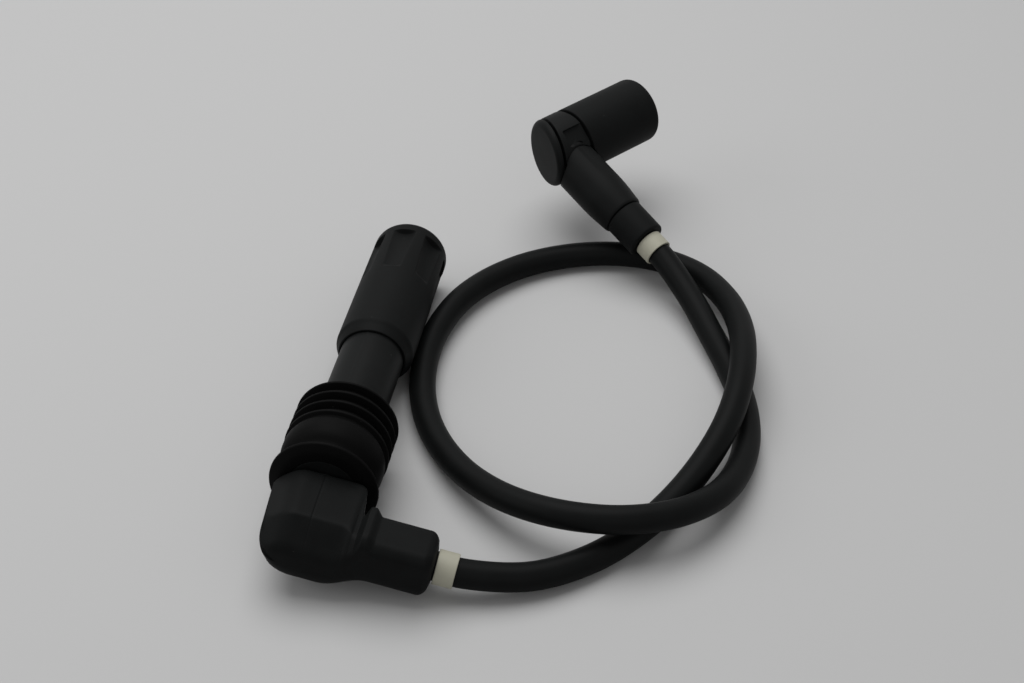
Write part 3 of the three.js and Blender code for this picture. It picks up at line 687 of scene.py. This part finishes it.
class LEAD_OT_elbow(bpy.types.Operator):
    """Moulds the rubber elbow of the plug connector"""

    bl_idname = "ignition_lead.elbow"
    bl_label = "Plug elbow"

    def execute(self, context):
        grid = self.moulding(context.scene.plug_sizes)
        mesh = grid_mesh("elbow_moulding", plug_frame(grid))
        place("elbow_moulding", mesh, finish("elbow"), ["plug_elbow"])
        return {"FINISHED"}

    def moulding(self, s):
        """A loft along the arm. The knuckle's upper outer edge is a soft bevel, its upper back edge
        a flat one and its other edges are round. Above and towards the seal it drops into a groove,
        and the collar rises behind that. Below and at the back it runs into the arm without a step.
        The far end turns inward to the lead's bore, which closes it."""
        outer, side = s.elbow_outer_side / MM, s.elbow_arm_side / MM
        top, base, back = s.elbow_top / MM, s.elbow_base / MM, s.elbow_back / MM
        front = s.seal_start / MM - GAP
        half, end = s.arm_half / MM, s.arm_length / MM
        x = self.places_along(outer, end)
        d = x + outer
        # What happens along the arm: its rounded end, the collar's bead, the groove before it, the
        # drop from the knuckle to the arm above (step), below (run) and at the back (turn_in), and
        # the parting groove on top
        end_round = round_in(end - x, 2.6)
        bead = 1.2 * eased(x, 12.2, 13.2) * (1 - eased(x, 14.2, 16.3))
        groove = 0.55 * eased(x, 10.8, 11.7) * (1 - eased(x, 11.9, 12.5))
        step = eased(x, side - 1.3, side + 0.4)
        run = eased(x, 5.0, 16.6)
        turn_in = eased(x, 8.0, 14.0)
        parting = 0.12 * np.exp(-(((x - 0.35) / 0.2) ** 2))
        arm_side = half + bead - groove - end_round
        near_arm = side - 0.1 - x
        # The section's four sides, and the legs and radii of its corners
        knuckle_top = bevel_in(d, 5.6, 2.4) - top + parting + round_in(near_arm, 2.4)
        knuckle_front = front - round_in(d, 2.0) - round_in(near_arm, 3.4)
        y0 = blend(knuckle_top, -arm_side, step)
        y1 = blend(base - round_in(d, 9.6), half - end_round, run)
        z0 = blend(round_in(d, 4.5) - back, end_round - half, turn_in)
        z1 = blend(knuckle_front, arm_side, step)
        ly, lz = blend(6.4, 3.0, turn_in), blend(6.3, 3.0, turn_in)
        rb, rf = blend(5.2, 4.2, turn_in), blend(1.7, 4.2, step)
        stations = np.column_stack([x, y0, y1, z0, z1, ly, lz, rb, rf])
        # The bore: the arm's flat end, a small lead-in, and the wall down to the bottom
        bore = bpy.context.scene.lead_sizes.diameter / MM / 2 + GAP
        bottom = end - LEAD_REACH
        inner = [(end, 3.99), (end, bore + 0.25), (end - 0.35, bore), (bottom, bore), (bottom, 0.4)]
        ring = [[a, -r, r, -r, r, r, r, r, r] for a, r in inner]
        grid = section_grid(np.vstack([stations, ring]), np.r_[1 - turn_in, np.zeros(len(ring))])
        # The mould's draft: the outer side slopes in towards the back, less and less towards the
        # arm
        grid[..., 0] += 0.075 * (front - grid[..., 2]) * np.clip((4 - grid[..., 0]) / 15, 0, 1)
        return grid

    def places_along(self, outer, end):
        """Where the stations lie along the arm: close together round the outer side, at the parting
        groove, at the collar and round the far end, and wide apart between."""
        quarter = np.linspace(0, np.pi / 2, 24)
        near = -outer + 9 * (1 - np.cos(quarter))
        x = np.r_[near, np.linspace(-2.5, -0.6, 6), np.linspace(-0.5, 1.2, 18)]
        x = np.r_[x, np.linspace(1.4, 9, 20), np.linspace(9, 17, 90), np.linspace(17, end - 3, 12)]
        far = end - 2.8 * np.cos(np.linspace(0, np.pi / 2, 12))
        return np.r_[np.unique(x), far]


class LEAD_OT_contact(bpy.types.Operator):
    """Turns the brass contact inside the elbow"""

    bl_idname = "ignition_lead.contact"
    bl_label = "Plug contact"

    def execute(self, context):
        wide, r = 3.2, CONTACT_RADIUS
        back, front = -2.3, 8.7
        disc = context.scene.plug_sizes.arm_length / MM - LEAD_REACH - GAP
        disc_back = disc - 1.2
        post = [(0, back), (wide, back), (wide, front), (0, front)]
        rod = [(0, 0), (r, 0), (r, disc_back), (wide, disc_back), (wide, disc), (0, disc)]
        post_mesh = self.bar("contact_post", post, "z")
        mesh = carved("elbow_contact", post_mesh, joined=[self.bar("contact_rod", rod, "x")])
        place("elbow_contact", mesh, finish("brass"), ["plug_contact"])
        return {"FINISHED"}

    def bar(self, name, outline, axis):
        """A turned bar with slightly rounded edges: the outline carried round the axis."""
        grid = lathe_grid(filleted(outline, 0.15, 3, closed=False), 64, axis)
        return grid_mesh(name, plug_frame(grid))


class LEAD_OT_seal(bpy.types.Operator):
    """Turns the ribbed seal with its flange"""

    bl_idname = "ignition_lead.seal"
    bl_label = "Plug seal"

    def execute(self, context):
        grid = lathe_grid(self.outline(context.scene.plug_sizes), 144)
        mesh = grid_mesh("ribbed_seal", plug_frame(grid), ring=True)
        place("ribbed_seal", mesh, finish("seal"), ["plug_seal"])
        return {"FINISHED"}

    def outline(self, s):
        """The closed outline: bore, flange with a thin lip, a hollow waist, a full bell and four
        thin-lipped ribs with deep grooves between them."""
        start, pitch = s.seal_start / MM, s.fin_pitch / MM
        bore = s.barrel_radius / MM + GAP * 0.5
        flange, fin = s.flange_radius / MM, s.fin_radius / MM
        end = start + SEAL_LENGTH
        # Each corner is (radius, height, rounding): first the flange, then the waist, then the bell
        points = [(bore, start, 0.05), (flange - 2.4, start, 0.8), (flange - 0.1, start + 0.7, 0.3)]
        points += [(flange, start + 1.45, 0.25), (flange - 0.9, start + 1.5, 0.3)]
        points += [(11.2, start + 1.7, 0.6), (10.2, start + 2.8, 1.2)]
        points += [(10.6, start + 4.6, 1.4), (12.2, start + 6.4, 1.4)]
        centres = [end - LAST_RIB_BACK - pitch * i for i in (3, 2, 1, 0)]
        points += [(12.75, start + 8.6, 1.6), (12.7, centres[0] - 2.2, 0.9)]
        for i, z in enumerate(centres):
            root = 10.9 if i else 11.9
            points += [(root, z - 0.75, 0.3), (fin, z - 0.32, 0.2), (fin, z + 0.36, 0.2)]
            if i < 3:
                points += [(10.9, z + 1.15, 0.5)]
        points += [(11.4, end - 0.3, 0.6), (bore, end, 0.1)]
        p = np.array(points)
        return filleted(p[:, :2], p[:, 2], 5)


class LEAD_OT_barrel(bpy.types.Operator):
    """Turns the stiff barrel, with its faint parting lines"""

    bl_idname = "ignition_lead.barrel"
    bl_label = "Plug barrel"

    def execute(self, context):
        s = context.scene.plug_sizes
        radius, end, start = s.barrel_radius / MM, s.barrel_end / MM, s.seal_start / MM
        # The bore round the resistor, the thin root inside the elbow, and the pocket for the
        # terminal
        bore, root, root_start = 3.6, 4.9, 3
        pocket, ledge = TERMINAL_RADIUS + GAP, end - GAP - TERMINAL_LENGTH - GAP
        outline = [(bore, root_start), (root, root_start), (root, start), (radius, start)]
        outline += [(radius, end), (pocket, end), (pocket, ledge), (bore, ledge)]
        rounded = filleted(outline, [0.2, 0.3, 0.1, 0.1, 0.6, 0.2, 0.2, 0.2], 4)
        # The long straight side is cut into 24 steps, so that the parting lines have points to
        # follow
        i = int(np.argmax(np.linalg.norm(np.diff(rounded, axis=0), axis=1)))
        side = blend(rounded[i], rounded[i + 1], np.linspace(0, 1, 25)[:, None])
        rounded = np.vstack([rounded[:i], side, rounded[i + 2 :]])
        grid = lathe_grid(rounded, 180)
        mesh = grid_mesh("barrel_tube", plug_frame(self.parted(grid, radius)), ring=True)
        place("barrel_tube", mesh, finish("barrel"), ["plug_barrel"])
        return {"FINISHED"}

    def parted(self, grid, radius):
        """Parting lines of the mould: the outside stands 0.09 mm proud on two opposite lines, as a
        narrow bell exp(-(angle / 0.03)^2). A real line of about 0.03 mm is too fine to show, so it
        is drawn higher."""
        x, y, z = np.moveaxis(grid, -1, 0)
        r = np.hypot(x, y)
        away = np.abs((np.arctan2(y, x) - np.radians(-106)) % np.pi)
        away = np.minimum(away, np.pi - away)
        proud = 1 + 0.09 / radius * np.exp(-((away / 0.03) ** 2)) * (r > radius - 0.05)
        return np.stack([x * proud, y * proud, z], -1)


class LEAD_OT_sleeve(bpy.types.Operator):
    """Moulds the rubber sleeve with its finger grips"""

    bl_idname = "ignition_lead.sleeve"
    bl_label = "Plug sleeve"

    def execute(self, context):
        s = context.scene.plug_sizes
        start, end, radius = s.sleeve_start / MM, s.sleeve_end / MM, s.sleeve_radius / MM
        bore, mouth = s.barrel_radius / MM + GAP * 0.5, s.mouth_radius / MM
        ledge = s.barrel_end / MM + GAP
        outline = [(bore, start), (bore + 0.5, start), (radius - 0.6, start + 2.2)]
        outline += [(radius, start + 3.3), (radius, end), (mouth, end)]
        outline += [(mouth, ledge), (bore, ledge)]
        rounded = filleted(outline, [0.15, 0.3, 0.8, 0.9, 2.7, 0.9, 0.3, 0.2], 8)
        i = int(np.argmax(np.linalg.norm(np.diff(rounded, axis=0), axis=1)))
        grip_end = end - 4  # the plain ring at the tip
        grip_start = grip_end - s.grip_length / MM
        rows = np.r_[
            np.arange(rounded[i, 1] + 2, grip_start - 1, 2.5),
            np.arange(grip_start - 0.8, grip_start + 1.6, 0.2),
            np.arange(grip_start + 1.6, grip_end - 0.8, 0.7),
            np.arange(grip_end - 0.8, min(grip_end + 0.5, rounded[i + 1, 1]), 0.1),
        ]
        straight = np.column_stack([np.full(len(rows), radius), rows])
        rounded = np.vstack([rounded[: i + 1], straight, rounded[i + 1 :]])
        plain, depth = lathe_grid(rounded, 360), s.grip_depth / MM
        grid = self.gripped(plain, radius, grip_start, grip_end, depth)
        mesh = grid_mesh("sleeve_rubber", plug_frame(grid), ring=True)
        place("sleeve_rubber", mesh, finish("sleeve"), ["plug_sleeve"])
        return {"FINISHED"}

    def gripped(self, grid, radius, start, end, depth):
        """Seven sunken grips, deeper towards the tip by 1.9 degrees: each is cut by a cylinder of
        radius c whose axis lies d = radius + c - depth away, so the outside falls to d cos a -
        sqrt(c^2 - (d sin a)^2). The grip runs out softly at its start and ends in a wall before the
        tip."""
        x, y, z = np.moveaxis(grid, -1, 0)
        r, angle = np.hypot(x, y), np.arctan2(y, x)
        cutter, pitch, first = 6.0, 2 * np.pi / 7, np.radians(-54)
        deeper = np.tan(np.radians(1.9)) * (z - (start + end) / 2)
        away = radius + cutter - depth - deeper
        a = (angle - first + pitch / 2) % pitch - pitch / 2
        inside = np.maximum(cutter**2 - (away * np.sin(a)) ** 2, 0)
        wall = np.where(inside > 0, away * np.cos(a) - np.sqrt(inside), np.inf)
        window = eased(z, start - 0.4, start + 1.2) * (1 - eased(z, end - 0.35, end + 0.15))
        sunk = np.maximum(r - wall, 0) * window * (r > radius - 0.2)
        k = (r - sunk) / r
        return np.stack([x * k, y * k, z], -1)


# Pieces of the coil cap


def leaned(grid):
    """The closed end of the cap leans: behind the crossing, z falls by tan (lean) (x cos f + y sin
    f), with f the direction it leans towards, so that the lid's face turns a little away from the
    arm."""
    lean, f = np.tan(np.radians(LID_LEAN)), np.radians(LID_LEANS_TOWARDS)
    across = grid[..., 0] * np.cos(f) + grid[..., 1] * np.sin(f)
    fall = np.where(grid[..., 2] < -1, lean * across, 0)
    return grid - fall[..., None] * np.array([0, 0, 1])


def lathe_mesh(name, outline, radii, sides, steps=6, ring=False, axis="z", lean=False):
    """A turned piece of the coil cap as a closed mesh in the row's frame."""
    grid = lathe_grid(filleted(outline, radii, steps, closed=ring), sides, axis)
    return grid_mesh(name, cap_frame(leaned(grid) if lean else grid), ring)


def cap_arm(name, s, grow):
    """The arm: a round bar along X, drawn in towards the grommet, grown all round by a
    clearance."""
    r, end_r, end = s.arm_radius / MM + grow, s.arm_end_radius / MM + grow, s.arm_length / MM
    root, shoulder = 4.0, 22
    outline = [(0, root), (r, root), (r, shoulder)]
    outline += [(end_r, end - 0.5), (end_r - 0.3, end), (0, end)]
    return lathe_mesh(name, outline, [0, 0.05, 5, 0.3, 0.3, 0], 128, 8, axis="x")


def cap_bar(name, radius, start, end):
    """A round bar along the barrel's axis, whose ends behind the crossing lean as the lid does."""
    outline = [(0, start), (radius, start), (radius, end), (0, end)]
    return lathe_mesh(name, outline, 0, 128, lean=True)


class LEAD_OT_cap_housing(bpy.types.Operator):
    """Moulds the coil cap's housing with its arm"""

    bl_idname = "ignition_lead.cap_housing"
    bl_label = "Cap housing"

    def execute(self, context):
        s = context.scene.cap_sizes
        radius, start, end = s.radius / MM, s.boot_start / MM, s.arm_length / MM
        lid_seam, groove_back, groove_front, groove_depth = 0.9, start - 1.15, start - 0.35, 0.75
        back, groove = lid_seam - s.lid_front / MM, radius - groove_depth
        body = [(0, back), (radius, back), (radius, groove_back - 0.1), (groove, groove_back)]
        body += [(groove, groove_front), (NECK_RADIUS, groove_front)]
        body += [(NECK_RADIUS, NECK_END), (0, NECK_END)]
        rounding = [0, 0.35, 0.25, 0.1, 0.1, 0.1, 0.6, 0]
        middle = lathe_mesh("cap_middle", body, rounding, 180, lean=True)
        # The arm stops 0.1 mm in front of the housing's back: two faces in one plane confuse the
        # boolean.
        limit = cap_bar("arm_limit", radius + GAP, -20, back + 0.1)
        arm = carved("cap_arm", cap_arm("arm_bar", s, 0), cut=[limit])
        slotted = carved("cap_slotted", middle, cut=[self.pocket(s, start), self.seam(s)])
        # What cuts or joins runs on past the surface it meets, so that no two faces lie in one
        # plane.
        recess_end = SPIGOT_HEIGHT + GAP - s.lid_front / MM
        tongue = s.grommet_radius / MM - TONGUE_STEP + GAP
        seat_start = end - TONGUE_LENGTH
        seat = [(0, seat_start), (tongue, seat_start), (tongue, end + 2), (0, end + 2)]
        r, rod_end = CONTACT_RADIUS + GAP, end - 5
        rod = [(0, 0), (r, 0), (r, rod_end), (0, rod_end)]
        bores = [
            cap_bar("terminal_bore", TERMINAL_RADIUS + GAP, -GAP, NECK_END + 5),
            cap_bar("lid_recess", SPIGOT_RADIUS + GAP, -8, recess_end),
            lathe_mesh("contact_bore", rod, 0, 48, axis="x"),
            lathe_mesh("grommet_seat", seat, 0, 96, axis="x"),
        ]
        mesh = carved("cap_moulding", slotted, joined=[arm], cut=bores)
        place("cap_moulding", mesh, finish("cap"), ["coil_cap"])
        return {"FINISHED"}

    def seam(self, s):
        """The narrow seam round the root of the arm: a bar 0.25 mm larger than the arm, which the
        arm then fills."""
        r, start, past = s.arm_radius / MM + 0.25, 5.0, 30
        outline = [(0, start), (r, start), (r, past), (0, past)]
        return lathe_mesh("arm_seam", outline, 0, 128, axis="x")

    def pocket(self, s, start):
        """The sunken pocket on top: a block with rounded edges, 66.5 degrees up from the arm, that
        reaches down to the pocket's floor, which is flat, and forward past the groove to the boot's
        end."""
        half, floor = s.pocket_width / MM / 2, s.radius / MM - s.pocket_depth / MM
        rear, past = start - 7.9, start + 0.6
        section = filleted([(-half, rear), (half, rear), (half, past), (-half, past)], 0.7)
        across, along = section.T
        height = np.array([floor, floor + 8])
        block = np.stack(np.broadcast_arrays(height[:, None], across[None, :], along[None, :]), -1)
        return grid_mesh("cap_pocket", cap_frame(block @ turn(2, -66.5).T))


class LEAD_OT_cap_lid(bpy.types.Operator):
    """Moulds the flat lid of the coil cap"""

    bl_idname = "ignition_lead.cap_lid"
    bl_label = "Cap lid"

    def execute(self, context):
        s = context.scene.cap_sizes
        r, back, front = s.radius / MM, -s.lid_back / MM, -s.lid_front / MM
        # The rim is a quarter circle of 1.8 mm: r - soft (1 - sin a), back + soft (1 - cos a)
        a, soft = np.linspace(0, np.pi / 2, 12), 1.8
        across, along = r - soft + soft * np.sin(a), back + soft - soft * np.cos(a)
        rim = np.column_stack([across, along]).tolist()
        spigot_end = front + SPIGOT_HEIGHT
        outline = [(0, back), *rim, (r, front), (SPIGOT_RADIUS, front)]
        outline += [(SPIGOT_RADIUS, spigot_end), (0, spigot_end)]
        radii = [0] * (len(rim) + 1) + [0.12, 0.1, 0.2, 0]
        mesh = lathe_mesh("lid_moulding", outline, radii, 180, 4, lean=True)
        place("lid_moulding", mesh, finish("cap"), ["coil_lid"])
        return {"FINISHED"}


class LEAD_OT_cap_boot(bpy.types.Operator):
    """Moulds the coil cap's rubber boot"""

    bl_idname = "ignition_lead.cap_boot"
    bl_label = "Cap boot"

    def execute(self, context):
        s = context.scene.cap_sizes
        r, mouth = s.radius / MM, s.mouth_radius / MM
        start, end = s.boot_start / MM, s.boot_end / MM
        bore, ledge = NECK_RADIUS + GAP * 0.5, NECK_END + GAP
        outline = [(bore, start), (r, start), (r, end), (mouth, end), (mouth, ledge), (bore, ledge)]
        shell = lathe_mesh("boot_shell", outline, [0.1, 0.4, 1.9, 0.7, 0.3, 0.1], 180, 8, ring=True)
        mesh = carved("boot_rubber", shell, cut=[cap_arm("boot_notch", s, GAP)])
        place("boot_rubber", mesh, finish("sleeve"), ["coil_boot"])
        return {"FINISHED"}


class LEAD_OT_cap_grommet(bpy.types.Operator):
    """Moulds the grommet where the lead enters the coil cap"""

    bl_idname = "ignition_lead.cap_grommet"
    bl_label = "Cap grommet"

    def execute(self, context):
        s = context.scene.cap_sizes
        r, arm, grow = s.grommet_radius / MM, s.arm_length / MM, s.grommet_length / MM
        bore = context.scene.lead_sizes.diameter / MM / 2 + GAP * 0.5
        tongue, tongue_start = r - TONGUE_STEP, arm - TONGUE_LENGTH + GAP
        outline = [(bore, tongue_start), (tongue, tongue_start), (tongue, arm + GAP)]
        outline += [(r, arm + GAP), (r - 0.1, arm + grow), (bore, arm + grow)]
        rounding = [0.1, 0.2, 0.1, 0.35, 0.7, 0.2]
        mesh = lathe_mesh("grommet_rubber", outline, rounding, 128, 6, ring=True, axis="x")
        place("grommet_rubber", mesh, finish("sleeve"), ["coil_grommet"])
        return {"FINISHED"}


class LEAD_OT_inner_metal(bpy.types.Operator):
    """Gives the sockets, contacts, spring and resistor inside both connectors their finishes"""

    bl_idname = "ignition_lead.inner_metal"
    bl_label = "Sockets and contacts"

    def execute(self, context):
        groups = {
            "brass": [
                "plug_resistor_cap_rear",
                "plug_resistor_cap_front",
                "plug_terminal",
                "coil_terminal",
                "coil_contact",
            ],
            "steel": ["plug_spring", "plug_terminal_ring", "coil_terminal_ring"],
            "ceramic": ["plug_resistor"],
        }
        for key, nodes in groups.items():
            for node in nodes:
                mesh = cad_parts[node].data
                mesh.materials.clear()
                mesh.materials.append(finish(key))
        return {"FINISHED"}


# Stage


class LEAD_OT_camera(bpy.types.Operator):
    """Sets the camera above and in front of the lead"""

    bl_idname = "ignition_lead.camera"
    bl_label = "Camera"

    def execute(self, context):
        data = bpy.data.cameras.new("Camera")
        camera = bpy.data.objects.new("Camera", data)
        context.scene.collection.objects.link(camera)
        data.sensor_width = 36
        data.lens = 63.28
        data.clip_start = 0.01
        camera.location = (0.066567, -0.374973, 0.30526)
        target = Vector((0.004557, 0.007462, 0))
        camera.rotation_euler = (target - camera.location).to_track_quat("-Z", "Y").to_euler()
        context.scene.camera = camera
        return {"FINISHED"}


class LEAD_OT_stage(bpy.types.Operator):
    """Lays a plain pale floor under soft studio light"""

    bl_idname = "ignition_lead.stage"
    bl_label = "Stage"

    def execute(self, context):
        self.floor(context)
        self.lamps(context)
        self.surround(context)
        context.scene.view_settings.view_transform = "Standard"
        return {"FINISHED"}

    def floor(self, context):
        """A plain square floor of diffuse paper"""
        mesh = bpy.data.meshes.new("floor")
        side = 3.0
        corners = [(-side, -side, 0), (side, -side, 0), (side, side, 0), (-side, side, 0)]
        mesh.from_pydata(corners, [], [(0, 1, 2, 3)])
        floor = bpy.data.objects.new("floor", mesh)
        context.scene.collection.objects.link(floor)
        material = fresh_material("matt paper floor")
        paper = add_node(material, "ShaderNodeBsdfDiffuse")
        paper.inputs["Color"].default_value = context.scene.finishes.floor
        add_node(material, "ShaderNodeOutputMaterial", links={"Surface": paper.outputs[0]})
        mesh.materials.append(material)

    def lamps(self, context):
        """Soft boxes as (name, place, size, watts), each turned towards the middle"""
        soft_boxes = [
            ("overhead", (-0.16, 0.24, 0.9), 1.0, 6.6),
            ("left_fill", (-0.7, -0.25, 0.42), 0.6, 0.9),
            ("front_fill", (0.35, -0.75, 0.5), 0.6, 0.35),
        ]
        for name, at, size, watts in soft_boxes:
            data = bpy.data.lights.new(name, "AREA")
            data.shape = "DISK"
            data.size = size
            data.energy = watts
            lamp = bpy.data.objects.new(name, data)
            context.scene.collection.objects.link(lamp)
            lamp.location = at
            lamp.rotation_euler = (-Vector(at)).to_track_quat("-Z", "Y").to_euler()

    def surround(self, context):
        """A white surround that lights from all sides"""
        world = bpy.data.worlds.new("soft surround")
        context.scene.world = world
        world.use_nodes = True
        world.node_tree.nodes.clear()
        # The light that falls on things is weaker than the pale surround that the eye and
        # reflections see.
        path = add_node(world, "ShaderNodeLightPath")
        either = {"operation": "MAXIMUM"}
        eye_or_gloss = {0: path.outputs["Is Camera Ray"], 1: path.outputs["Is Glossy Ray"]}
        eye = add_node(world, "ShaderNodeMath", either, eye_or_gloss)
        or_through = {0: eye.outputs[0], 1: path.outputs["Is Transmission Ray"]}
        seen = add_node(world, "ShaderNodeMath", either, or_through)
        strength = add_node(world, "ShaderNodeMapRange", links={"Value": seen.outputs[0]})
        strength.inputs["To Min"].default_value = 0.28
        strength.inputs["To Max"].default_value = 0.62
        strength_now = {"Strength": strength.outputs["Result"]}
        white = add_node(world, "ShaderNodeBackground", links=strength_now)
        white.inputs["Color"].default_value = (1, 1, 1, 1)
        add_node(world, "ShaderNodeOutputWorld", links={"Surface": white.outputs["Background"]})


class LEAD_PT_panel(bpy.types.Panel):
    """Ignition lead"""

    bl_idname = "LEAD_PT_panel"
    bl_label = "Ignition lead"
    bl_space_type = "VIEW_3D"
    bl_region_type = "UI"
    bl_category = "Ignition lead"

    def draw(self, context):
        for operator in OPERATORS:
            self.layout.operator(operator.bl_idname)
        for key in GROUPS:
            group = getattr(context.scene, key)
            box = self.layout.box()
            for name in group.__annotations__:
                box.prop(group, name)


OPERATORS = (
    LEAD_OT_camera,
    LEAD_OT_bands,
    LEAD_OT_jacket,
    LEAD_OT_elbow,
    LEAD_OT_contact,
    LEAD_OT_seal,
    LEAD_OT_barrel,
    LEAD_OT_sleeve,
    LEAD_OT_cap_housing,
    LEAD_OT_cap_lid,
    LEAD_OT_cap_boot,
    LEAD_OT_cap_grommet,
    LEAD_OT_inner_metal,
    LEAD_OT_stage,
)
GROUPS = {
    "lead_sizes": LeadSizes,
    "plug_sizes": PlugSizes,
    "cap_sizes": CapSizes,
    "finishes": Finishes,
}


def register():
    for group in (*GROUPS.values(), *OPERATORS, LEAD_PT_panel):
        bpy.utils.register_class(group)
    for key, group in GROUPS.items():
        setattr(bpy.types.Scene, key, PointerProperty(type=group))


def unregister():
    for key in GROUPS:
        delattr(bpy.types.Scene, key)
    for group in reversed((*GROUPS.values(), *OPERATORS, LEAD_PT_panel)):
        bpy.utils.unregister_class(group)


def main():
    register()
    for operator in OPERATORS:
        category, name = operator.bl_idname.split(".")
        getattr(getattr(bpy.ops, category), name)()


if __name__ == "__main__":
    main()
